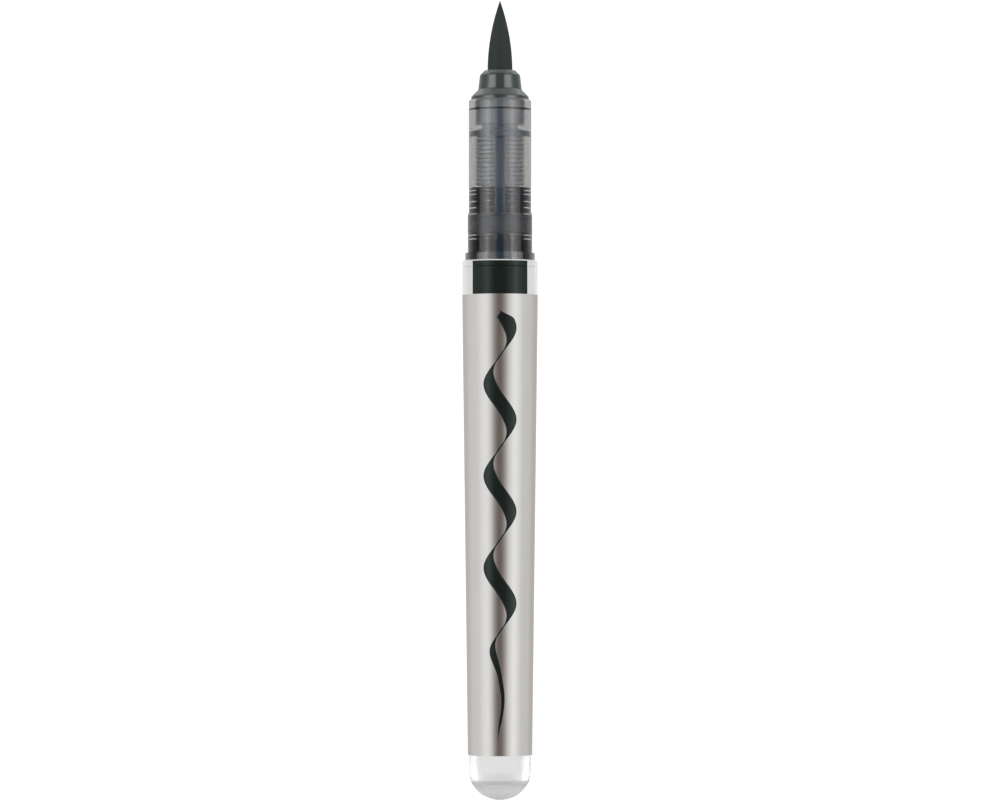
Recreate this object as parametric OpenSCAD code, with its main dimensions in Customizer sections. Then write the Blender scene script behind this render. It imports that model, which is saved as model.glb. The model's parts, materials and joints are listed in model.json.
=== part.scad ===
// Brush marker with a free-ink tank, standing on its rear end with the brush up.
// The axis is Z and the origin is the lowest point of the rounded rear end.
// All sizes are in millimetres. Radii and diameters are those of finished parts.

/* [Barrel] */
// Length of the barrel tube, without the rear end plug
barrel_len = 79; // [64:1:110]
// Length of the bare collar in front of the label
collar_len = 5.5; // [3:0.1:8]
// Wall around the socket that holds the grip
collar_wall = 1.17; // [0.8:0.01:2]
// Bore of the ink tank at its rear end
tank_rear_d = 8; // [6.6:0.1:9]
// Wall of the tank at its rear end
rear_wall = 1.05; // [0.9:0.05:1.6]
// Ledge between the grip socket and the tank bore
ledge = 0.6; // [0.3:0.05:1]
// Wall between the tank and the rear socket
partition_t = 1.3; // [0.8:0.1:2.5]
// Thickness of the metallised label film
label_t = 0.1; // [0.05:0.01:0.15]
// Thickness of the dark colour tab let into the collar
tab_t = 0.08; // [0.08:0.01:0.12]
// How far the colour tab reaches round the collar, in degrees
tab_angle = 92; // [30:1:180]
// Ink in the tank, in millilitres
ink_ml = 2.1; // [0.2:0.1:2.4]

/* [Rear end plug] */
// Length of plug that shows behind the barrel
plug_len = 7.2; // [6:0.1:10]
// How far the plug's skin stays inside the label's skin
plug_step = 0.18; // [0.12:0.01:0.3]
// Wall of the plug's push-in spigot
plug_spigot_wall = 0.5; // [0.4:0.05:0.7]
// Length of the plug's push-in spigot
plug_spigot_len = 3.3; // [2:0.1:5]
// Wall of the plug where it shows
plug_wall = 1.15; // [0.8:0.05:1.4]
// Thickness of the plug's closed end
plug_floor = 2.8; // [1.5:0.1:3.5]

/* [Grip] */
// Bore of the smoked grip tube
grip_bore_d = 8; // [7:0.1:9.6]
// Wall of the grip tube
grip_wall = 1.03; // [0.8:0.01:1.5]
// Length of the upper, full-width part of the grip
grip_len = 14.1; // [11:0.1:24]
// Length of the middle part, which is a hair narrower
relief_len = 4.2; // [3:0.1:7]
// Step down from the upper part to the middle part
relief_step = 0.02; // [0.01:0.01:0.2]
// Step from the upper part up to the cap seat
seat_step = 0.14; // [0.05:0.01:0.25]
// Length of the seat that a cap grips
cap_seat_len = 6.3; // [5:0.1:9]
// How far the flange stands out of the cap seat
flange_lip = 0.47; // [0.3:0.01:0.6]
// Thickness of the flange
flange_t = 1.2; // [0.8:0.1:2]
// Wall of the spigot below the flange
spigot_wall = 0.85; // [0.7:0.05:1.2]
// Length of the spigot below the flange
spigot_len = 6.6; // [5:0.1:10]
// Section diameter of the O-ring on the spigot
o_ring_d = 0.44; // [0.36:0.02:0.6]

/* [Ink regulator] */
// Distance from one comb fin to the next
fin_pitch = 0.7; // [0.5:0.05:1.2]
// Thickness of a comb fin
fin_t = 0.38; // [0.3:0.01:0.48]
// Air gap around the comb
comb_gap = 0.1; // [0.05:0.01:0.3]
// Length of the regulator's plain head
head_len = 2.3; // [2:0.1:3]
// Length of the narrow neck below the head
neck_len = 1.1; // [0.6:0.1:2]
// Thickness of the sealing ring below the neck
ring_t = 0.9; // [0.5:0.1:1.5]
// Diameter of the comb's core, between its fins
core_d = 6; // [4.4:0.1:6.6]
// Outer diameter of the feed tube
feed_tube_d = 1.9; // [1.7:0.05:2.6]
// Wall around the feed tube at the bottom of the air channel
hub_wall = 0.6; // [0.4:0.05:1]
// Width of the air channel along the front of the regulator
channel_w = 1.5; // [0.8:0.1:2]
// Diameter of the feed wick
wick_d = 1.2; // [0.8:0.05:1.3]
// Length of wick that hangs into the tank
wick_dip = 4; // [2:0.5:8]
// Length of the felt ink buffer
buffer_len = 3.2; // [2:0.1:5]
// How far the tank stopper stands above the flange
stopper_rise = 2.1; // [1.2:0.1:3]

/* [Nose] */
// Length of the nose in front of the grip
nose_len = 4.7; // [3.8:0.1:7]
// Wall of the nose around the brush, at the mouth
mouth_wall = 1.22; // [0.9:0.01:1.5]
// Thickness of the gasket behind the nose
gasket_t = 0.3; // [0.2:0.05:0.6]
// Length of the part of the nose that enters the grip
nose_spigot_len = 1.4; // [1:0.1:2.5]

/* [Brush] */
// Diameter of the brush where it leaves the nose
brush_d = 4; // [3.2:0.02:4.8]
// Free length of the brush
tip_len = 11.3; // [8:0.1:16]
// Fullness of the brush: 1 is a cone, and more is rounder
tip_fullness = 2; // [1.2:0.02:2.4]
// Length of the binding sleeve on the brush foot
ferrule_len = 3; // [1.5:0.1:4]
// Largest bend of the brush to either side, in degrees
flex_angle = 25; // [10:1:30]

/* [Fits] */
// Radial clearance of a push fit that can be pulled apart
slide_fit = 0.04; // [0.02:0.01:0.08]
// Radial interference of a fit that stays together
press_fit = 0.02; // [0.01:0.005:0.03]
// Length left free at the closed end of a socket
end_gap = 0.2; // [0.1:0.05:0.5]

/* [Hidden] */
$fn = 128;

// Heights of the seams, from the rear end up
barrel_z = plug_len;
mouth_z = barrel_z + barrel_len;
seat_z = mouth_z + flange_t;
relief_z = seat_z + cap_seat_len;
grip_z = relief_z + relief_len;
nose_z = grip_z + grip_len;
brush_z = nose_z + nose_len;
tip_z = brush_z + tip_len;
label_z = mouth_z - collar_len;

// Radii of the grip and of what it fits into
bore_r = grip_bore_d / 2;
grip_r = bore_r + grip_wall;
relief_r = grip_r - relief_step;
seat_r = grip_r + seat_step;
flange_r = seat_r + flange_lip;
spigot_r = bore_r + spigot_wall;
socket_r = spigot_r + slide_fit;
collar_r = socket_r + collar_wall;
press_r = bore_r + press_fit;

// Radii of the barrel, its tank and its rear socket
tank_rear_r = tank_rear_d / 2;
tank_front_r = socket_r - ledge;
barrel_rear_r = tank_rear_r + rear_wall;
plug_r = barrel_rear_r + label_t - plug_step;
plug_bore_r = plug_r - plug_wall;
plug_spigot_r = plug_bore_r + plug_spigot_wall;
rear_socket_r = plug_spigot_r + slide_fit;
rear_socket_z = barrel_z + plug_spigot_len + end_gap;
tank_z = rear_socket_z + partition_t;
socket_z = mouth_z - spigot_len - end_gap;
rim_len = 1.05;
rim_round = 0.2;
rim_groove = 0.07;
tab_top_z = mouth_z - rim_round;

// The rounded rear end, and the draft of the hollow in it
dome_len = 4.7;
plug_draft = 0.25;
hollow_round = 0.9;

// Stack of parts in the grip, counted up from the flange and down from the nose
stack_gap = 0.2;
retainer_t = 0.4;
baffle_t = [0.8, 0.8, 0.95, 0.4, 0.4];
stopper_z = seat_z + stopper_rise;
retainer_z = stopper_z + stack_gap;
buffer_z = retainer_z + retainer_t + stack_gap;
baffle_z = buffer_z + buffer_len + stack_gap;
comb_z = baffle_z + height_of(baffle_t, len(baffle_t)) - stack_gap;
gasket_z = nose_z - nose_spigot_len - gasket_t;
head_z = gasket_z - head_len;
ring_z = head_z - neck_len - ring_t;
fin_count = floor((ring_z - comb_z - stack_gap) / fin_pitch);
comb_r = bore_r - comb_gap;
core_r = core_d / 2;
feed_r = feed_tube_d / 2;
hub_r = feed_r + hub_wall;
neck_r = bore_r - 1.1;
ring_flare = 0.5;
feed_end_z = stopper_z - 1;
wick_r = wick_d / 2;
wick_z = mouth_z - spigot_len - wick_dip;
felt_groove = 0.06;
felt_groove_rises = [0.36, 0.53];

// Brush, its foot in the nose and the ball on which the free part bends
brush_r = brush_d / 2;
brush_bore_r = brush_r + slide_fit;
foot_z = gasket_z - head_len + end_gap + 0.1;
foot_hole_depth = 1.6;
wick_top_z = foot_z + foot_hole_depth - end_gap;
ferrule_t = 0.25;
ferrule_z = foot_z + 2.2;
pivot_rise = 1.3;
pivot_z = brush_z + pivot_rise;
ball_r = brush_r - 0.35;
ball_gap = 0.03;
shoulder_angle = flex_angle + 2;
tip_blunt = 0.06;

// Nose outline
pilot_r = bore_r - 0.5;
lip_r = grip_r - 0.37;
lip_draft = 0.04;
lip_round = 0.3;
lip_top_z = nose_z + 0.5;
ring_front_r = brush_bore_r + mouth_wall;
ring_back_r = ring_front_r + 0.22;
flare_round = 0.35;
flare_top_z = lip_top_z + lip_r - lip_draft - ring_back_r;
mouth_round = 0.45;
mouth_bevel = 0.95;

// O-ring groove on the spigot
groove_z = mouth_z - spigot_len / 2;
o_ring_gap = 0.01;
groove_depth = o_ring_d - slide_fit + o_ring_gap;

// Height of the first n baffles together with the gap above each one
function height_of(t, n) = n == 0 ? 0 : t[n - 1] + stack_gap + height_of(t, n - 1);

// Points of a round stretch about a centre, from one angle to another
function arc(centre, r, from, to, steps = 8) = [
    for (i = [0 : steps])
        let (a = from + (to - from) * i / steps)
        [centre[0] + r * cos(a), centre[1] + r * sin(a)]
];

// Distance from a 45 degree corner to where a round of radius r starts
function setback(r) = r * tan(22.5);

// Radius of the brush at a height above the nose, which it leaves straight up
function brush_radius(h) = brush_r * (1 - pow(h / tip_len, tip_fullness));

// Radius of the tank at height z
function tank_radius(z) =
    tank_rear_r + (tank_front_r - tank_rear_r) * (z - tank_z) / (socket_z - tank_z);

module turned(points) {
    rotate_extrude() polygon(points);
}

module tube(outer_r, inner_r, from_z, to_z) {
    translate([0, 0, from_z]) difference() {
        cylinder(r = outer_r, h = to_z - from_z);
        translate([0, 0, -1]) cylinder(r = inner_r, h = to_z - from_z + 2);
    }
}

// Skin of the collar from the label up to the rounded rim, with the fine line around it
collar_skin = [
    [collar_r, label_z],
    [collar_r, mouth_z - rim_len - rim_groove],
    [collar_r - rim_groove, mouth_z - rim_len],
    [collar_r, mouth_z - rim_len + rim_groove],
    [collar_r, tab_top_z]
];

// Turns an outline through the colour tab's share of the collar, centred on the front
module tab_sector(points) {
    rotate([0, 0, -90 - tab_angle / 2]) rotate_extrude(angle = tab_angle) polygon(points);
}

// Milky tube: collar and grip socket in front, tank, partition, and a socket for the plug
module barrel_tube() {
    color([0.88, 0.89, 0.88]) difference() {
        turned(concat(
            [
                [0, rear_socket_z],
                [rear_socket_r, rear_socket_z],
                [rear_socket_r, barrel_z],
                [barrel_rear_r, barrel_z],
                [collar_r - label_t, label_z]
            ],
            collar_skin,
            arc([collar_r - rim_round, mouth_z - rim_round], rim_round, 0, 90),
            [
                [socket_r, mouth_z],
                [socket_r, socket_z],
                [tank_front_r, socket_z],
                [tank_rear_r, tank_z],
                [0, tank_z]
            ]
        ));
        tab_sector([
            [collar_r - tab_t, label_z],
            [collar_r + 1, label_z],
            [collar_r + 1, tab_top_z],
            [collar_r - tab_t, tab_top_z]
        ]);
    }
}

// Metallised film around the barrel behind the collar
module label_sleeve() {
    color([0.8, 0.78, 0.76]) turned([
        [barrel_rear_r, barrel_z],
        [barrel_rear_r + label_t, barrel_z],
        [collar_r, label_z],
        [collar_r - label_t, label_z]
    ]);
}

// Dark film on the front of the collar that shows the ink colour
module colour_tab() {
    color([0.13, 0.15, 0.14]) tab_sector(concat(
        [[collar_r - tab_t, label_z]],
        collar_skin,
        [[collar_r - tab_t, tab_top_z]]
    ));
}

// Ink at the bottom of the tank, as it lies with the brush up
module ink_charge() {
    film = 0.02;
    mean_r = (tank_rear_r + tank_front_r) / 2;
    top_z = tank_z + ink_ml * 1000 / (PI * mean_r * mean_r);
    color([0.05, 0.06, 0.06]) turned([
        [0, tank_z],
        [tank_radius(tank_z) - film, tank_z],
        [tank_radius(top_z) - film, top_z],
        [0, top_z]
    ]);
}

// Clear rounded cup with a spigot that pushes into the rear of the barrel
module end_plug() {
    floor_r = plug_bore_r - plug_draft;
    dome = [
        for (i = [0 : 12])
            let (a = -90 + 90 * i / 12)
            [plug_r * cos(a), dome_len + dome_len * sin(a)]
    ];
    color([0.9, 0.9, 0.9, 0.5]) turned(concat(
        dome,
        [
            [plug_r, barrel_z],
            [plug_spigot_r, barrel_z],
            [plug_spigot_r, barrel_z + plug_spigot_len],
            [plug_bore_r, barrel_z + plug_spigot_len],
            [plug_bore_r, barrel_z]
        ],
        arc([floor_r - hollow_round, plug_floor + hollow_round], hollow_round, 0, -90),
        [[0, plug_floor]]
    ));
}

// Smoked grip tube with the cap seat, the flange and the spigot that enters the barrel
module grip_shell() {
    front_round = grip_r - lip_r;
    groove_h = o_ring_d + 0.1;
    color([0.55, 0.56, 0.58, 0.5]) difference() {
        turned(concat(
            [
                [bore_r, mouth_z - spigot_len],
                [spigot_r - 0.15, mouth_z - spigot_len],
                [spigot_r, mouth_z - spigot_len + 0.3],
                [spigot_r, mouth_z],
                [flange_r, mouth_z],
                [flange_r, seat_z],
                [seat_r, seat_z],
                [seat_r, relief_z],
                [relief_r, relief_z],
                [relief_r, grip_z],
                [grip_r, grip_z]
            ],
            arc([lip_r, nose_z - front_round], front_round, 0, 90),
            [[bore_r, nose_z]]
        ));
        tube(spigot_r + 1, spigot_r - groove_depth, groove_z - groove_h / 2, groove_z + groove_h / 2);
    }
}

// Rubber ring that seals the grip in the barrel
module spigot_o_ring() {
    ring_r = socket_r - o_ring_gap - o_ring_d / 2;
    color([0.12, 0.12, 0.12]) translate([0, 0, groove_z])
        rotate_extrude() translate([ring_r, 0]) circle(d = o_ring_d, $fn = 32);
}

// Stopper that closes the tank, with a socket for the feed tube and a tight hole for the wick
module tank_stopper() {
    foot_r = bore_r - 0.3;
    color([0.2, 0.21, 0.22]) difference() {
        turned([
            [0, mouth_z - spigot_len],
            [foot_r, mouth_z - spigot_len],
            [press_r, mouth_z - spigot_len + 0.6],
            [press_r, stopper_z],
            [0, stopper_z]
        ]);
        translate([0, 0, mouth_z - spigot_len - 1])
            cylinder(r = wick_r - press_fit, h = stopper_z - mouth_z + spigot_len + 2);
        translate([0, 0, feed_end_z]) cylinder(r = feed_r + slide_fit, h = stopper_z - feed_end_z + 1);
    }
}

// Air channel along the front of the discs and the comb, cut from one height to another
module channel(width, from_z, to_z) {
    translate([-width / 2, -bore_r - 1, from_z]) cube([width, bore_r + 1 - hub_r, to_z - from_z]);
}

// Disc that fills the bore, with a hub that stands on the piece below
module hub_ring(from_z, to_z, channel_width) {
    difference() {
        union() {
            translate([0, 0, from_z]) cylinder(r = press_r, h = to_z - from_z);
            translate([0, 0, from_z - stack_gap]) cylinder(r = hub_r, h = stack_gap);
        }
        translate([0, 0, from_z - 1]) cylinder(r = feed_r + slide_fit, h = to_z - from_z + 2);
        channel(channel_width, from_z - 1, to_z + 1);
    }
}

// Thin ring that keeps the felt off the stopper
module retainer_ring() {
    color([0.3, 0.31, 0.33]) {
        hub_ring(retainer_z, retainer_z + retainer_t, channel_w + 0.4);
        tube(hub_r, feed_r + slide_fit, retainer_z + retainer_t, buffer_z);
    }
}

// Porous felt ring that takes up ink when the tank warms, pressed in three layers
module ink_buffer() {
    color([0.26, 0.27, 0.3]) difference() {
        tube(press_r, feed_r + slide_fit, buffer_z, buffer_z + buffer_len);
        for (rise = felt_groove_rises)
            tube(
                bore_r + 1, bore_r - felt_groove,
                buffer_z + rise * buffer_len, buffer_z + rise * buffer_len + felt_groove
            );
    }
}

// One of the discs that slow the ink down below the comb, counted from the felt up
module baffle_ring(i) {
    from_z = baffle_z + height_of(baffle_t, i);
    color([0.24, 0.26, 0.3]) hub_ring(from_z, from_z + baffle_t[i], channel_w);
}

// One moulding: head that holds the brush foot, neck, sealing ring, comb and feed tube
module ink_regulator() {
    socket_floor_z = foot_z - 0.1;
    color([0.42, 0.44, 0.48]) difference() {
        union() {
            translate([0, 0, head_z]) cylinder(r = comb_r, h = head_len);
            translate([0, 0, head_z - neck_len]) cylinder(r = neck_r, h = neck_len);
            translate([0, 0, ring_z + ring_t]) cylinder(r1 = press_r, r2 = neck_r, h = ring_flare);
            translate([0, 0, ring_z]) cylinder(r = press_r, h = ring_t);
            translate([0, 0, comb_z]) cylinder(r = core_r, h = ring_z - comb_z);
            translate([0, 0, feed_end_z]) cylinder(r = feed_r, h = comb_z - feed_end_z);
            for (i = [1 : fin_count])
                translate([0, 0, ring_z - i * fin_pitch]) cylinder(r = comb_r, h = fin_t);
        }
        translate([0, 0, feed_end_z - 1]) cylinder(r = wick_r + slide_fit, h = gasket_z);
        translate([0, 0, socket_floor_z]) cylinder(r = brush_bore_r, h = gasket_z);
        channel(channel_w, comb_z - 1, ring_z);
    }
}

// Fibre rod that carries the ink from the tank to the brush
module feed_wick() {
    point = wick_r / 2;
    color([0.1, 0.11, 0.13]) turned([
        [0, wick_z],
        [wick_r, wick_z],
        [wick_r, wick_top_z - point],
        [wick_r - point, wick_top_z],
        [0, wick_top_z]
    ]);
}

// Flat rubber ring behind the nose
module nose_gasket() {
    color([0.08, 0.08, 0.08])
        tube(press_r, pilot_r + slide_fit, gasket_z, gasket_z + gasket_t);
}

// Dark glossy nose: spigot, flare and the ring that holds the brush
module nose_cone() {
    spigot_z = nose_z - nose_spigot_len;
    nose_spigot_r = bore_r - slide_fit;
    edge = 0.12;
    // The flare and the bevel of the mouth are at 45 degrees, and rounds lead into and out of them
    bevel_z = brush_z - mouth_bevel;
    bevel_reach = mouth_round * sqrt(2) - mouth_bevel;
    color([0.2, 0.24, 0.23]) turned(concat(
        [
            [brush_bore_r, gasket_z],
            [pilot_r, gasket_z],
            [pilot_r, spigot_z],
            [nose_spigot_r, spigot_z],
            [nose_spigot_r, nose_z],
            [lip_r, nose_z]
        ],
        arc([lip_r - lip_draft - lip_round, lip_top_z - setback(lip_round)], lip_round, 0, 45),
        arc([ring_back_r + flare_round, flare_top_z + setback(flare_round)], flare_round, -135, -180),
        arc([ring_front_r - mouth_round, bevel_z], mouth_round, 0, 45),
        [
            [ring_front_r - mouth_round + bevel_reach, brush_z],
            [brush_bore_r + edge, brush_z],
            [brush_bore_r, brush_z - edge]
        ]
    ));
}

// Bonded foot of the brush: the lower end in the nose, and the ball that the free part bends on
module brush_foot() {
    neck_r = brush_r - ferrule_t;
    shoulder_r = brush_r / cos(shoulder_angle);
    color([0.16, 0.19, 0.18]) difference() {
        turned(concat(
            [
                [0, foot_z],
                [brush_r - 0.1, foot_z],
                [brush_r, foot_z + 0.2],
                [brush_r, ferrule_z],
                [neck_r, ferrule_z],
                [neck_r, ferrule_z + ferrule_len],
                [brush_r, ferrule_z + ferrule_len],
                [brush_r, pivot_z - shoulder_r * sin(shoulder_angle)]
            ],
            arc([0, pivot_z], ball_r, -shoulder_angle, 90, 12)
        ));
        translate([0, 0, foot_z - 1]) cylinder(r = wick_r + slide_fit, h = foot_hole_depth + 1);
    }
}

// Sleeve that binds the bristles of the foot
module brush_ferrule() {
    color([0.75, 0.72, 0.62])
        tube(brush_r, brush_r - ferrule_t, ferrule_z, ferrule_z + ferrule_len);
}

// Free part of the brush, hollowed to sit over the ball of the foot
module brush_tip() {
    steps = 20;
    profile = [
        for (i = [0 : steps])
            let (h = pivot_rise + (tip_len - pivot_rise) * i / steps)
            [max(brush_radius(h), tip_blunt), brush_z + h]
    ];
    color([0.2, 0.23, 0.22]) difference() {
        turned(concat([[0, pivot_z]], profile, [[0, tip_z]]));
        translate([0, 0, pivot_z]) sphere(r = ball_r + ball_gap);
    }
}

barrel_tube();
label_sleeve();
colour_tab();
ink_charge();
end_plug();
grip_shell();
spigot_o_ring();
tank_stopper();
retainer_ring();
ink_buffer();
for (i = [0 : len(baffle_t) - 1])
    baffle_ring(i);
ink_regulator();
feed_wick();
nose_gasket();
nose_cone();
brush_foot();
brush_ferrule();
brush_tip();
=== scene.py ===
"""Looks of the brush marker: studio, camera, materials, the soft brush and the printed stroke."""
import json
import math
import random

import bmesh
import bpy
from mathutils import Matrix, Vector


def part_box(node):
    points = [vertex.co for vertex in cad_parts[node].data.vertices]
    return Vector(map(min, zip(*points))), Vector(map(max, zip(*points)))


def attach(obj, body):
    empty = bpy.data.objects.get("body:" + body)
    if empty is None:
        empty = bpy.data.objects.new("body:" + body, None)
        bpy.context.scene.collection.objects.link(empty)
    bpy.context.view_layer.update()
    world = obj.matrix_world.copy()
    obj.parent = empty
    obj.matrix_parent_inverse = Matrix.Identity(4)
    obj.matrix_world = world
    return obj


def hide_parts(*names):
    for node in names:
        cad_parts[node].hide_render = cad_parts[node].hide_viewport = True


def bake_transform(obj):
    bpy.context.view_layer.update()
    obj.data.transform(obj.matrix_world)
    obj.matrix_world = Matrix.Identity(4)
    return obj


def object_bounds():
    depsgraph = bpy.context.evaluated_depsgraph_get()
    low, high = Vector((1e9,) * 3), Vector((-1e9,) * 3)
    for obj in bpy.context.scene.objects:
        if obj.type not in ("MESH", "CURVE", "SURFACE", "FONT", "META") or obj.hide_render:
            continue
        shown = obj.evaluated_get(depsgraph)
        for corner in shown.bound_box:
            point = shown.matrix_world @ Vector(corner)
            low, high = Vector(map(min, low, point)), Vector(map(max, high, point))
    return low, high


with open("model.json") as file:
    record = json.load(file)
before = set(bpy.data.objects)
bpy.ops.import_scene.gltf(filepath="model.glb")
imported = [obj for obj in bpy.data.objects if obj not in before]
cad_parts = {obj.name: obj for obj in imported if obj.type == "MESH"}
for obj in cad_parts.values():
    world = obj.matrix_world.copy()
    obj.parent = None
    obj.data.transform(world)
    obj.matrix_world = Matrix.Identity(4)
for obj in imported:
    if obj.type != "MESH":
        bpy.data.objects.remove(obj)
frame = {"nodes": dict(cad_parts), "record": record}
cad_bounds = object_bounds()
nodes = frame["nodes"]

MM = 0.001


# ---------------------------------------------------------------- sizes taken from the frame

def top_of(node):
    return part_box(node)[1].z


def foot_of(node):
    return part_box(node)[0].z


def radius_of(node):
    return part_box(node)[1].x


HEIGHT = cad_bounds[1].z
NOSE_FOOT, NOSE_TOP = foot_of("nose_cone"), top_of("nose_cone")
LABEL_LOW, LABEL_HIGH = foot_of("label_sleeve"), top_of("label_sleeve")


# ---------------------------------------------------------------- camera and studio

CAMERA_DISTANCE = 0.80
CAMERA_HEIGHT = 0.045
CAMERA_AIM = 0.0639
VIEW_WIDTH = 0.160
SENSOR_WIDTH = 36.0
BACKDROP_LIGHT = 1.12
FLOOR_HEIGHT = -0.009
FLOOR_GREY = 0.25
FLOOR_GLOW = 0.84


def make_camera():
    """A long lens in front of the marker, whose height fills the frame."""
    data = bpy.data.cameras.new("camera")
    data.sensor_width = SENSOR_WIDTH
    data.lens = SENSOR_WIDTH * CAMERA_DISTANCE / VIEW_WIDTH
    data.clip_start = 0.01
    data.clip_end = 50
    camera = bpy.data.objects.new("camera", data)
    bpy.context.collection.objects.link(camera)
    camera.location = (0, -CAMERA_DISTANCE, CAMERA_HEIGHT)
    aim = Vector((0, 0, CAMERA_AIM)) - camera.location
    camera.rotation_euler = aim.to_track_quat("-Z", "Y").to_euler()
    bpy.context.scene.camera = camera


def make_world():
    """Even white light for everything but reflections and refractions, which see the surrounds."""
    world = bpy.data.worlds.new("studio")
    bpy.context.scene.world = world
    world.use_nodes = True
    background = world.node_tree.nodes["Background"]
    background.inputs["Color"].default_value = (1, 1, 1, 1)
    background.inputs["Strength"].default_value = BACKDROP_LIGHT
    world.cycles_visibility.glossy = False
    world.cycles_visibility.transmission = False


def make_floor():
    """White paper, lit a little from below so that it stays as white as the backdrop.

    The marker is held by its collar above the paper, with room for its plug to pull out.
    """
    mesh = bpy.data.meshes.new("floor")
    bm = bmesh.new()
    bmesh.ops.create_circle(bm, cap_ends=True, segments=96, radius=6)
    bm.to_mesh(mesh)
    bm.free()
    floor = bpy.data.objects.new("floor", mesh)
    bpy.context.collection.objects.link(floor)
    material = bpy.data.materials.new("floor_paper")
    material.use_nodes = True
    shader = material.node_tree.nodes["Principled BSDF"]
    shader.inputs["Base Color"].default_value = (FLOOR_GREY, FLOOR_GREY, FLOOR_GREY, 1)
    shader.inputs["Roughness"].default_value = 0.9
    shader.inputs["Specular IOR Level"].default_value = 0.0
    shader.inputs["Emission Color"].default_value = (1, 1, 1, 1)
    shader.inputs["Emission Strength"].default_value = FLOOR_GLOW
    mesh.materials.append(material)
    floor.location.z = FLOOR_HEIGHT
    floor.visible_glossy = False


# Each surround is a dome of light that only its own pieces reflect and refract, as a photographer
# flags softboxes for each part of a product. Its stops are (angle, brightness) round the marker,
# where 0 is behind the camera and plus is to the right.
DARK = 0.06

FOIL_STOPS = [
    (-180, 0.60), (-140, 0.62), (-105, 0.78), (-78, 0.80), (-58, 0.98), (-42, 1.04), (-30, 0.80),
    (-18, 0.36), (-8, 0.16), (0, 0.12), (8, 0.20), (18, 0.46), (30, 0.84), (47, 1.12), (60, 0.98),
    (78, 0.76), (105, 0.74), (140, 0.58), (180, 0.58),
]
FILM_STOPS = [
    (-180, 0.40), (-90, 0.45), (-60, 0.45), (-46, 0.95), (-38, 1.2), (-28, 0.45), (-15, 0.02),
    (15, 0.02), (28, 0.40), (41, 0.90), (50, 1.6), (60, 0.85), (80, 0.35), (180, 0.40),
]
GRIP_STOPS = [
    (-180, 0.92), (-125, 0.8), (-105, 0.35), (-84, DARK), (-76, 1.4), (-60, 2.3), (-50, 3.8),
    (-42, 3.8), (-36, 1.9), (-18, 1.5), (-8, 0.5), (8, 0.5), (18, 1.5), (36, 1.9), (42, 3.8),
    (50, 3.8), (60, 2.3), (76, 1.4), (84, DARK), (105, 0.35), (125, 0.8), (180, 0.92),
]
NOSE_STOPS = [
    (-180, 0.55), (-130, 0.5), (-95, 0.3), (-76, 0.7), (-64, 2.0), (-55, 3.2), (-45, 3.0),
    (-28, 2.4), (-20, 0.1), (20, 0.1), (28, 2.4), (45, 3.0), (55, 3.2), (64, 2.0), (76, 0.7),
    (95, 0.3), (130, 0.5), (180, 0.55),
]
OVERHEAD_STOPS = [
    (-180, 1.5), (-130, 1.4), (-95, 0.9), (-60, 0.0),
    (60, 0.0), (95, 0.9), (130, 1.4), (180, 1.5),
]
PLUG_STOPS = [
    (-180, 0.98), (-165, 1.1), (-145, 1.5), (-100, 1.0), (-60, 1.0), (-15, 0.9), (0, 0.5),
    (15, 0.9), (60, 1.0), (100, 1.0), (145, 1.5), (165, 1.1), (180, 0.98),
]
# Share of the brightness by angle above the horizon
EVEN_RISE = [(-90, 1.0), (90, 1.0)]
TALL_BOX_RISE = [(-90, 0.5), (-45, 0.5), (-30, 1.0), (35, 1.0), (48, 0.6), (90, 0.6)]
WINDOW_RISE = [
    (-90, 0.05), (-30, 0.05), (-20, 0.9), (3, 0.9), (9, 1.4), (21, 1.4), (28, 0.05), (90, 0.05),
]
OVERHEAD_RISE = [(-90, 0.0), (24, 0.0), (34, 1.0), (58, 1.0), (75, 0.75), (90, 0.65)]
LOW_RISE = [(-90, 0.55), (-50, 0.6), (-15, 1.0), (15, 1.0), (50, 0.6), (90, 0.55)]


class Maths:
    """Adds maths nodes to a node tree."""

    def __init__(self, tree):
        self.tree = tree

    def __call__(self, operation, a, b=None):
        node = self.tree.nodes.new("ShaderNodeMath")
        node.operation = operation
        for socket, value in zip(node.inputs, (a, b)):
            if isinstance(value, (int, float)):
                socket.default_value = value
            elif value is not None:
                self.tree.links.new(value, socket)
        return node.outputs[0]


def ramp_of(tree, value, stops, tint=None):
    """A smooth curve through stops of (angle in degrees, brightness), read at value in radians."""
    maths = Maths(tree)
    low, high = stops[0][0], stops[-1][0]
    peak = max(brightness for _, brightness in stops)
    share = maths("DIVIDE", maths("SUBTRACT", value, math.radians(low)), math.radians(high - low))
    ramp = tree.nodes.new("ShaderNodeValToRGB")
    ramp.color_ramp.interpolation = "EASE"
    elements = ramp.color_ramp.elements
    elements.remove(elements[-1])
    for i, (angle, brightness) in enumerate(stops):
        place = (angle - low) / (high - low)
        element = elements[0] if i == 0 else elements.new(place)
        element.position = place
        grey = brightness / peak
        hue = tint(angle, grey) if tint else (1, 1, 1)
        element.color = (grey * hue[0], grey * hue[1], grey * hue[2], 1)
    tree.links.new(share, ramp.inputs[0])
    return ramp.outputs["Color"], peak


def warm_shade(_angle, grey):
    """Tint of the foil's surround: its dark gap is warm and the rest is nearly neutral."""
    depth = max(0.0, 1 - grey / 0.75)
    return 1, 1 - 0.20 * depth, 1 - 0.30 * depth


def cool_front(angle, _grey):
    """Tint of the grip's surround: the gap between its two front lights is blue."""
    return (0.45, 0.8, 1.2) if abs(angle) < 12 else (1, 1, 1)


def green_shade(_angle, _grey):
    """Tint of the printed film's surround."""
    return 0.8, 1, 0.93


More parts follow.
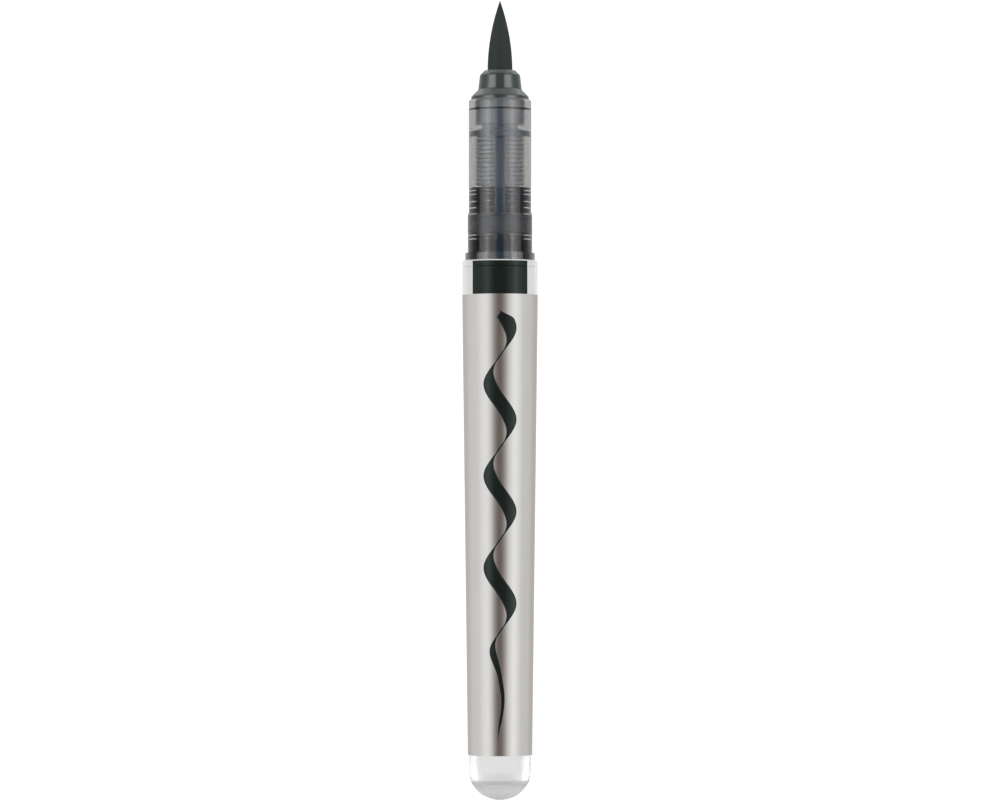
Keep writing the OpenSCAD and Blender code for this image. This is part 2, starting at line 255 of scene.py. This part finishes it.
def make_surround(name, radius, stops, rise_stops, receivers, tint=None):
    """A glowing dome that only receivers reflect and refract, and that nothing else sees."""
    mesh = bpy.data.meshes.new(name)
    bm = bmesh.new()
    bmesh.ops.create_uvsphere(bm, u_segments=96, v_segments=48, radius=radius)
    bmesh.ops.reverse_faces(bm, faces=bm.faces)
    bm.to_mesh(mesh)
    bm.free()
    dome = bpy.data.objects.new(name, mesh)
    bpy.context.collection.objects.link(dome)
    dome.location.z = HEIGHT / 2
    dome.visible_camera = False
    dome.visible_diffuse = False
    dome.visible_shadow = False

    material = bpy.data.materials.new(name + "_glow")
    material.use_nodes = True
    material.cycles.emission_sampling = "NONE"
    tree = material.node_tree
    tree.nodes.clear()
    maths = Maths(tree)
    place = tree.nodes.new("ShaderNodeTexCoord")
    split = tree.nodes.new("ShaderNodeSeparateXYZ")
    tree.links.new(place.outputs["Object"], split.inputs[0])
    x, y, z = split.outputs
    around = maths("ARCTAN2", x, maths("MULTIPLY", y, -1.0))
    flat = maths("SQRT", maths("ADD", maths("MULTIPLY", x, x), maths("MULTIPLY", y, y)))
    color, peak = ramp_of(tree, around, stops, tint)
    share, rise_peak = ramp_of(tree, maths("ARCTAN2", z, flat), rise_stops)
    emission = tree.nodes.new("ShaderNodeEmission")
    tree.links.new(color, emission.inputs["Color"])
    tree.links.new(maths("MULTIPLY", share, peak * rise_peak), emission.inputs["Strength"])
    # The dome is see-through, so that rays go on to the other domes
    clear = tree.nodes.new("ShaderNodeBsdfTransparent")
    both = tree.nodes.new("ShaderNodeAddShader")
    tree.links.new(emission.outputs[0], both.inputs[0])
    tree.links.new(clear.outputs[0], both.inputs[1])
    output = tree.nodes.new("ShaderNodeOutputMaterial")
    tree.links.new(both.outputs[0], output.inputs["Surface"])
    mesh.materials.append(material)

    lit = bpy.data.collections.new(name + "_lit")
    for receiver in receivers:
        lit.objects.link(receiver)
    dome.light_linking.receiver_collection = lit


# ---------------------------------------------------------------- materials

class Finish:
    """A material under construction: a Principled shader and helpers that add procedural detail."""

    def __init__(self, name, color, **sockets):
        self.material = bpy.data.materials.new(name)
        self.material.use_nodes = True
        self.tree = self.material.node_tree
        self.shader = self.tree.nodes["Principled BSDF"]
        self.shader.inputs["Base Color"].default_value = (*color, 1)
        for socket, value in sockets.items():
            self.shader.inputs[socket.replace("_", " ")].default_value = value
        self.color = color

    def node(self, kind, **values):
        node = self.tree.nodes.new(kind)
        for key, value in values.items():
            if key in node.inputs:
                node.inputs[key].default_value = value
            else:
                setattr(node, key, value)
        return node

    def link(self, a, b):
        self.tree.links.new(a, b)

    def coords(self, stretch=(1, 1, 1)):
        """Object coordinates in millimetres, with each axis scaled by stretch."""
        place = self.node("ShaderNodeTexCoord")
        mapping = self.node("ShaderNodeMapping")
        mapping.inputs["Scale"].default_value = [s / MM for s in stretch]
        self.link(place.outputs["Object"], mapping.inputs["Vector"])
        return mapping.outputs["Vector"]

    def noise(self, size_mm, stretch=(1, 1, 1), detail=3.0, rough=0.5):
        """Noise whose blotches are about size_mm across."""
        noise = self.node("ShaderNodeTexNoise", Scale=1 / size_mm, Detail=detail, Roughness=rough)
        self.link(self.coords(stretch), noise.inputs["Vector"])
        return noise.outputs["Fac"]

    def height(self):
        """Height above the object's foot in millimetres."""
        split = self.node("ShaderNodeSeparateXYZ")
        self.link(self.coords(), split.inputs[0])
        return split.outputs["Z"]

    def both(self, a, b):
        """The share where both shares hold."""
        product = self.node("ShaderNodeMath", operation="MULTIPLY")
        self.link(a, product.inputs[0])
        self.link(b, product.inputs[1])
        return product.outputs[0]

    def band(self, low, high, soft):
        """1 between two heights in millimetres and 0 outside them, with soft edges."""
        height = self.height()
        return self.both(
            self.spread(height, 0, 1, low - soft, low + soft),
            self.spread(height, 1, 0, high - soft, high + soft)
        )

    def off_axis(self, along=(1, 1, 0)):
        """Distance from the marker's axis in millimetres, or along X alone with (1, 0, 0)."""
        length = self.node("ShaderNodeVectorMath", operation="LENGTH")
        self.link(self.coords(stretch=along), length.inputs[0])
        return length.outputs["Value"]

    def spread(self, value, low, high, from_low=0.3, from_high=0.7):
        """value, which runs from from_low to from_high, turned into low to high."""
        spread = self.node("ShaderNodeMapRange")
        for key, number in zip(
            ("From Min", "From Max", "To Min", "To Max"), (from_low, from_high, low, high)
        ):
            spread.inputs[key].default_value = number
        self.link(value, spread.inputs["Value"])
        return spread.outputs["Result"]

    def vary_roughness(self, value, low, high):
        """Lets the roughness run from low to high with value."""
        self.link(self.spread(value, low, high), self.shader.inputs["Roughness"])
        return self

    def vary_color(self, value, other, amount=1.0):
        """Mixes the base colour towards other where value is high."""
        mix = self.node("ShaderNodeMix", data_type="RGBA")
        mix.inputs["A"].default_value = (*self.color, 1)
        mix.inputs["B"].default_value = (*other, 1)
        self.link(self.spread(value, 0, amount), mix.inputs["Factor"])
        self.link(mix.outputs["Result"], self.shader.inputs["Base Color"])
        return self

    def blend_color(self, share, other):
        """Turns whatever colour the surface has into other as share goes from 0 to 1."""
        mix = self.node("ShaderNodeMix", data_type="RGBA")
        socket = self.shader.inputs["Base Color"]
        if socket.links:
            self.link(socket.links[0].from_socket, mix.inputs["A"])
        else:
            mix.inputs["A"].default_value = (*self.color, 1)
        mix.inputs["B"].default_value = (*other, 1)
        self.link(share, mix.inputs["Factor"])
        self.link(mix.outputs["Result"], socket)
        return self

    def blend_roughness(self, share, other):
        """Turns whatever roughness the surface has into other as share goes from 0 to 1."""
        mix = self.node("ShaderNodeMix", data_type="FLOAT")
        socket = self.shader.inputs["Roughness"]
        self.link(socket.links[0].from_socket, mix.inputs["A"])
        mix.inputs["B"].default_value = other
        self.link(share, mix.inputs["Factor"])
        self.link(mix.outputs["Result"], socket)
        return self

    def absorb(self, color, per_mm):
        """Tint that deepens with the thickness that light crosses."""
        volume = self.node("ShaderNodeVolumeAbsorption", Density=per_mm / MM)
        volume.inputs["Color"].default_value = (*color, 1)
        output = self.tree.nodes["Material Output"]
        self.link(volume.outputs["Volume"], output.inputs["Volume"])

    def bump(self, value, depth_mm):
        """Raises the surface by depth_mm where value is high."""
        bump = self.node("ShaderNodeBump", Strength=1.0, Distance=depth_mm * MM)
        self.link(value, bump.inputs["Height"])
        last = self.shader.inputs["Normal"]
        if last.links:
            self.link(last.links[0].from_socket, bump.inputs["Normal"])
        self.link(bump.outputs["Normal"], last)
        return self


def milky_plastic():
    """Translucent white moulding of the barrel."""
    f = Finish("milky_plastic", (0.585, 0.585, 0.57), IOR=1.49)
    f.vary_roughness(f.noise(1.5), 0.22, 0.3)
    return f.bump(f.noise(2.0, detail=2), 0.0005)


def foil():
    """Satin metallised film with the faint lengthwise grain of its rolling."""
    f = Finish("foil", (0.72, 0.715, 0.70), Metallic=1.0)
    grain = f.noise(0.09, stretch=(1, 1, 0.03), detail=4)
    f.vary_roughness(grain, 0.18, 0.26)
    f.vary_color(f.noise(2.5, stretch=(1, 1, 0.4)), (0.70, 0.695, 0.68))
    return f.bump(grain, 0.0008)


def dark_print():
    """Printed black, with the slight unevenness of screen ink."""
    f = Finish("dark_print", (0.0095, 0.0135, 0.0122), IOR=1.45)
    f.vary_roughness(f.noise(0.7), 0.14, 0.20)
    return f.bump(f.noise(0.3, detail=2), 0.0004)


def clear_plug():
    """Clear polystyrene, frosted in its hollow and at its closed end by the core of the mould, and
    painted grey there as painted shade, darker at the closed end.
    """
    f = Finish("clear_plug", (0.97, 0.97, 0.97), IOR=1.5, Transmission_Weight=1.0)
    f.vary_roughness(f.noise(1.2), 0.015, 0.05)
    hollow = f.spread(f.off_axis(), 1, 0, 4.1, 4.3)
    end = f.spread(f.height(), 1, 0, 1.6, 3.1)
    # Painted shade: grey in the hollow and darker grey at the closed end, mottled there
    f.blend_color(hollow, (0.71, 0.71, 0.71))
    f.blend_color(end, (0.58, 0.58, 0.58))
    f.blend_color(f.both(end, f.spread(f.noise(0.9, detail=4), 0, 0.8)), (0.74, 0.74, 0.74))
    f.blend_roughness(hollow, 0.22)
    f.blend_roughness(f.band(2.2, 3.2, 0.3), 0.5)
    f.blend_roughness(end, 0.3)
    return f.bump(f.noise(1.6, detail=2), 0.003)


FLANGE_TALL = 1.2


def smoke_plastic():
    """Clear grip tube, smoky in its depth, satin over the felt and the comb, blue at its flange."""
    f = Finish("smoke_plastic", (1.0, 1.0, 1.0), IOR=1.5, Transmission_Weight=1.0)
    f.absorb((0.50, 0.49, 0.46), per_mm=0.60)
    f.vary_roughness(f.noise(1.0), 0.02, 0.05)
    f.blend_roughness(f.band(foot_of("ink_buffer") / MM, top_of("ink_buffer") / MM, 0.4), 0.3)
    f.blend_roughness(f.band(top_of("baffle_ring_5") / MM, NOSE_FOOT / MM, 0.4), 0.14)
    flange_foot = top_of("barrel_tube") / MM
    flange = f.band(flange_foot, flange_foot + FLANGE_TALL, 0.02)
    f.blend_color(flange, (0.60, 0.66, 0.78))
    f.blend_roughness(flange, 0.2)
    f.link(flange, f.shader.inputs["Coat Weight"])
    return f.bump(f.noise(2.5, detail=1), 0.0006)


def pressed_in(name, color, rough, stain, painted_light_depths=(), gloss=0.0, **sockets):
    """Moulding pressed against the wall of the grip, stained by ink and with little gloss left.

    depths lists (from, to, colour): painted light, the colour that the piece turns to between two
    distances from the axis, lighter deep in its channel and its gaps in place of the shade there.
    """
    f = Finish(name, color, Specular_IOR_Level=gloss, **sockets)
    f.vary_roughness(f.noise(0.6), rough - 0.04, rough + 0.06)
    f.vary_color(f.noise(1.5, detail=3), stain, 0.5)
    # Painted light: lighter colour deep in the channel and gaps, in place of the shade that falls
    # there
    for near, far, other in painted_light_depths:
        f.blend_color(f.spread(f.off_axis(), 1, 0, near, far), other)
    return f.bump(f.noise(0.4, detail=2), 0.001)


# Distances from the axis, in millimetres, between which the floor of the ink's channel lies, and
# inside which the mouldings are painted lighter as painted light in place of the channel's shade
CHANNEL_FLOOR = (1.7, 2.1)
# Height of the comb above its foot, and the step from the sealing ring in to the fins' rims
COMB_TALL, RIM_STEP = 7.9, 0.12


def black_moulding():
    return pressed_in("black_moulding", (0.034, 0.038, 0.046), 0.3, (0.026, 0.029, 0.036))


def baffle_moulding():
    # Painted light: the channel's floor is lighter, in place of the shade deep in the channel
    return pressed_in(
        "baffle_moulding", (0.056, 0.063, 0.080), 0.4, (0.038, 0.043, 0.056),
        [(*CHANNEL_FLOOR, (0.26, 0.30, 0.36))]
    )


def comb_moulding():
    """Translucent grey moulding: light that enters its fins spreads before it leaves."""
    # Painted light: the channel's floor is lighter, in place of the shade deep in the channel
    f = pressed_in(
        "comb_moulding", (0.29, 0.32, 0.37), 0.34, (0.25, 0.28, 0.33),
        [(*CHANNEL_FLOOR, (0.37, 0.40, 0.44))], gloss=0.55,
        Subsurface_Weight=1.0, Subsurface_Radius=(0.8, 0.8, 0.9), Subsurface_Scale=MM
    )
    across = f.off_axis((1, 0, 0))
    comb_foot = top_of("baffle_ring_5") / MM
    comb_top = comb_foot + COMB_TALL
    rim = radius_of("ink_regulator") / MM - RIM_STEP
    # Painted light and shade, not a stain: at the two sides the rims are painted lighter as painted
    # highlight, and the gaps between the fins painted dark as shade
    sides = f.both(f.band(comb_foot, comb_top, 0.1), f.spread(across, 0, 1, 2.6, 3.0))
    f.link(f.spread(sides, 1, 0, 0, 1), f.shader.inputs["Subsurface Weight"])
    f.blend_color(sides, (0.42, 0.45, 0.50))
    # Painted shade in the gaps between the fins at the two sides
    painted_shade_behind_rims = f.spread(f.off_axis(), 1, 0, rim - 0.15, rim - 0.05)
    f.blend_color(f.both(sides, painted_shade_behind_rims), (0.03, 0.05, 0.09))
    # Painted reflection: a dark line runs on up the head from the channel, front and back, in place
    # of the reflected dark gap between the two front lights
    above_comb = f.spread(f.height(), 0, 1, comb_top, comb_top + 0.3)
    line = f.both(f.spread(across, 1, 0, 0.2, 1.0), above_comb)
    return f.blend_color(line, (0.16, 0.17, 0.20))


def gloss_black():
    """Polished dark moulding of the nose, with bare grey plastic on its spigot."""
    f = Finish("gloss_black", (0.036, 0.047, 0.044), IOR=1.52)
    f.vary_roughness(f.noise(0.8), 0.10, 0.16)
    front = top_of("grip_shell") / MM
    bare = f.spread(f.height(), 1, 0, front - 0.05, front + 0.01)
    f.blend_color(bare, (0.25, 0.27, 0.30))
    f.blend_roughness(bare, 0.6)
    return f.bump(f.noise(1.1, detail=2), 0.0015)


def felt():
    """Pressed felt with a loose, fibrous skin."""
    f = Finish("felt", (0.062, 0.068, 0.080), Roughness=0.95, Specular_IOR_Level=0.0)
    fibres = f.noise(0.08, stretch=(1, 1, 2.5), detail=6, rough=0.7)
    f.vary_color(fibres, (0.10, 0.11, 0.13))
    return f.bump(fibres, 0.03)


def fibre_rod():
    """Bonded fibres that run along the wick."""
    f = Finish("fibre_rod", (0.03, 0.035, 0.045), Roughness=0.7)
    fibres = f.noise(0.05, stretch=(1, 1, 0.02), detail=4)
    f.vary_color(fibres, (0.06, 0.07, 0.085))
    return f.bump(fibres, 0.01)


def brush_fibre():
    """Fine bristles that run to the point, wet with dark ink."""
    f = Finish("brush_fibre", (0.020, 0.026, 0.0245), IOR=1.4, Specular_IOR_Level=0.2)
    fibres = f.noise(0.06, stretch=(1, 1, 0.015), detail=5, rough=0.6)
    f.vary_color(fibres, (0.030, 0.038, 0.036))
    f.vary_roughness(fibres, 0.5, 0.7)
    return f.bump(fibres, 0.006)


def soft_rubber():
    """Moulded rubber of the gasket and the ring."""
    f = Finish("soft_rubber", (0.02, 0.02, 0.021), Roughness=0.6)
    return f.bump(f.noise(0.1), 0.004)


def wet_ink():
    """Still, dark liquid."""
    f = Finish("wet_ink", (0.006, 0.008, 0.008), IOR=1.34)
    f.vary_roughness(f.noise(3.0), 0.02, 0.06)
    return f


def rolled_brass():
    """Brass sleeve with the grain of its rolling."""
    f = Finish("rolled_brass", (0.62, 0.50, 0.26), Metallic=1.0)
    grain = f.noise(0.08, stretch=(0.1, 0.1, 1))
    f.vary_roughness(grain, 0.25, 0.4)
    return f.bump(grain, 0.002)


FINISHES = {
    "clear_plastic": milky_plastic,
    "foil_film": foil,
    "dark_film": dark_print,
    "ink": wet_ink,
    "plug_plastic": clear_plug,
    "smoke_plastic": smoke_plastic,
    "rubber": soft_rubber,
    "black_plastic": black_moulding,
    "felt": felt,
    "baffle_plastic": baffle_moulding,
    "comb_plastic": comb_moulding,
    "fibre": fibre_rod,
    "nose_plastic": gloss_black,
    "brush_fibre": brush_fibre,
    "ferrule_brass": rolled_brass,
}


def paint_nodes():
    """Gives every CAD node the finish of its record slot, and returns the materials by slot."""
    made = {slot: finish().material for slot, finish in FINISHES.items()}
    for part in frame["record"]["subparts"]:
        for material_slot in nodes[part["node"]].material_slots:
            material_slot.material = made[part["material_slot"]]
    return made


# ---------------------------------------------------------------- the brush

def smoothstep(t):
    t = min(max(t, 0.0), 1.0)
    return t * t * (3 - 2 * t)


def brush_profile():
    """(radius, height) pairs from the wick hole in the foot, up the outside, to the point."""
    hole = 0.64 * MM
    foot, tip = foot_of("brush_foot"), top_of("brush_tip")
    sleeve_low, sleeve_high = foot_of("brush_ferrule"), top_of("brush_ferrule")
    full = radius_of("brush_ferrule")
    waist = full - 0.26 * MM
    edge = 0.1 * MM
    points = [
        (0.0, foot + 1.6 * MM), (hole, foot + 1.6 * MM), (hole, foot),
        (full - edge, foot), (full, foot + edge),
        (full, sleeve_low), (waist, sleeve_low + edge / 5),
        (waist, sleeve_high - edge / 5), (full, sleeve_high),
    ]
    for i in range(7):
        points.append((full, sleeve_high + (NOSE_TOP - sleeve_high) * (i + 1) / 7))
    steps = 70
    length = tip - NOSE_TOP
    fullness = 2.0
    for i in range(1, steps + 1):
        t = 1 - (1 - i / steps) ** 1.15
        points.append((full * (1 - t ** fullness), NOSE_TOP + length * t))
    return points


def make_brush(material):
    """One brush from foot to point, with fine bristle ridges that gather at the point."""
    around = 240
    rng = random.Random(7)
    waves = [
        (rng.randint(38, 110), rng.uniform(0, math.tau), rng.uniform(0.4, 1)) for _ in range(9)
    ]
    total = sum(w[2] for w in waves)

    def ridge(angle, height):
        twist = 0.15 * math.sin(height / (4 * MM))
        return sum(a * math.sin(n * (angle + twist) + phase) for n, phase, a in waves) / total

    mesh = bpy.data.meshes.new("brush")
    bm = bmesh.new()
    rings = []
    for radius, height in brush_profile():
        if radius < 1e-7:
            rings.append([bm.verts.new((0, 0, height))])
            continue
        free = smoothstep((height - NOSE_TOP + 0.6 * MM) / (1.5 * MM))
        depth = 0.007 * MM * free * smoothstep(radius / (0.6 * MM))
        ring = []
        for i in range(around):
            angle = math.tau * i / around
            r = radius - depth * (1 - ridge(angle, height))
            ring.append(bm.verts.new((r * math.cos(angle), r * math.sin(angle), height)))
        rings.append(ring)
    for low, high in zip(rings, rings[1:]):
        for i in range(around):
            j = (i + 1) % around
            corners = [
                low[i % len(low)], low[j % len(low)], high[j % len(high)], high[i % len(high)]
            ]
            bm.faces.new(list(dict.fromkeys(corners)))
    bmesh.ops.recalc_face_normals(bm, faces=bm.faces)
    for face in bm.faces:
        face.smooth = True
    bm.to_mesh(mesh)
    bm.free()
    mesh.materials.append(material)
    brush = bpy.data.objects.new("brush", mesh)
    bpy.context.collection.objects.link(brush)
    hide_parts("brush_foot", "brush_tip")
    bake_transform(brush)
    return brush


# ---------------------------------------------------------------- the printed stroke

def label_radius(height):
    """Outer radius of the label, which tapers evenly from its front to its rear."""
    plug_step = 0.18 * MM
    rear = radius_of("end_plug") + plug_step
    front = radius_of("label_sleeve")
    return rear + (front - rear) * (height - LABEL_LOW) / (LABEL_HIGH - LABEL_LOW)


def stroke_outline(steps):
    """(height, middle, half width) down the label, as a broad pen held at a slant draws a wave."""
    start = LABEL_HIGH - 2.6 * MM
    end = LABEL_LOW + 2.4 * MM
    turn_at = 0.80
    pen_slant = math.radians(34)
    rows = []
    for i in range(steps + 1):
        t = i / steps
        body = 1 - smoothstep((t - turn_at + 0.06) / 0.12)
        sway = (0.45 + 1.25 * body) * MM
        waves = 3.75
        angle = math.tau * waves * t / turn_at
        middle = sway * math.sin(angle)
        slope = sway * math.cos(angle) * math.tau * waves / turn_at / (start - end)
        lean = math.atan(slope)
        thick = (0.35 + 1.05 * body) * abs(math.sin(lean + pen_slant)) + 0.09
        ends = smoothstep(t / 0.02) * smoothstep((1 - t) / 0.05)
        rows.append((start + (end - start) * t, middle, max(thick * ends, 0.02) * MM))
    return rows


def make_stroke(material):
    """A thin film of print that wraps the front of the label: one wavy pen stroke, no lettering."""
    across = 10
    lift, film = 0.004 * MM, 0.014 * MM
    rows = stroke_outline(420)
    bm = bmesh.new()

    def layer(rise):
        grid = []
        for height, middle, half in rows:
            r = label_radius(height) + rise
            line = []
            for k in range(across + 1):
                angle = (middle + half * (2 * k / across - 1)) / r - math.pi / 2
                line.append(bm.verts.new((r * math.cos(angle), r * math.sin(angle), height)))
            grid.append(line)
        return grid

    under, over = layer(lift), layer(lift + film)
    last = len(rows) - 1
    for grid in (under, over):
        for i in range(last):
            for k in range(across):
                bm.faces.new((grid[i][k], grid[i][k + 1], grid[i + 1][k + 1], grid[i + 1][k]))
    for i in range(last):
        for k in (0, across):
            bm.faces.new((under[i][k], over[i][k], over[i + 1][k], under[i + 1][k]))
    for i in (0, last):
        for k in range(across):
            bm.faces.new((under[i][k], over[i][k], over[i][k + 1], under[i][k + 1]))
    bmesh.ops.recalc_face_normals(bm, faces=bm.faces)
    for face in bm.faces:
        face.smooth = True
    mesh = bpy.data.meshes.new("pen_stroke_print")
    bm.to_mesh(mesh)
    bm.free()
    mesh.materials.append(material)
    stroke = bpy.data.objects.new("pen_stroke_print", mesh)
    bpy.context.collection.objects.link(stroke)
    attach(stroke, "barrel")
    return stroke


# ---------------------------------------------------------------- assembly

make_camera()
make_world()
make_floor()
materials = paint_nodes()
brush = make_brush(materials["brush_fibre"])
stroke = make_stroke(materials["dark_film"])

lit_alone = {
    "foil": [nodes["label_sleeve"]],
    "film": [nodes["colour_tab"], stroke],
    "nose": [nodes["nose_cone"], brush],
    "tail": [nodes["end_plug"], nodes["barrel_tube"]],
}
taken = [obj for group in lit_alone.values() for obj in group]
lit_alone["grip"] = [obj for obj in nodes.values() if obj not in taken]
# Their radii differ, so that no two domes coincide
make_surround("foil_surround", 4.0, FOIL_STOPS, EVEN_RISE, lit_alone["foil"], warm_shade)
make_surround("film_surround", 4.2, FILM_STOPS, EVEN_RISE, lit_alone["film"], green_shade)
make_surround("nose_surround", 4.4, NOSE_STOPS, WINDOW_RISE, lit_alone["nose"])
make_surround("overhead_surround", 5.0, OVERHEAD_STOPS, OVERHEAD_RISE, lit_alone["nose"])
make_surround("tail_surround", 4.6, PLUG_STOPS, LOW_RISE, lit_alone["tail"])
make_surround("grip_surround", 4.8, GRIP_STOPS, TALL_BOX_RISE, lit_alone["grip"], cool_front)

view = bpy.context.scene.view_settings
view.view_transform = "Standard"
view.look = "None"
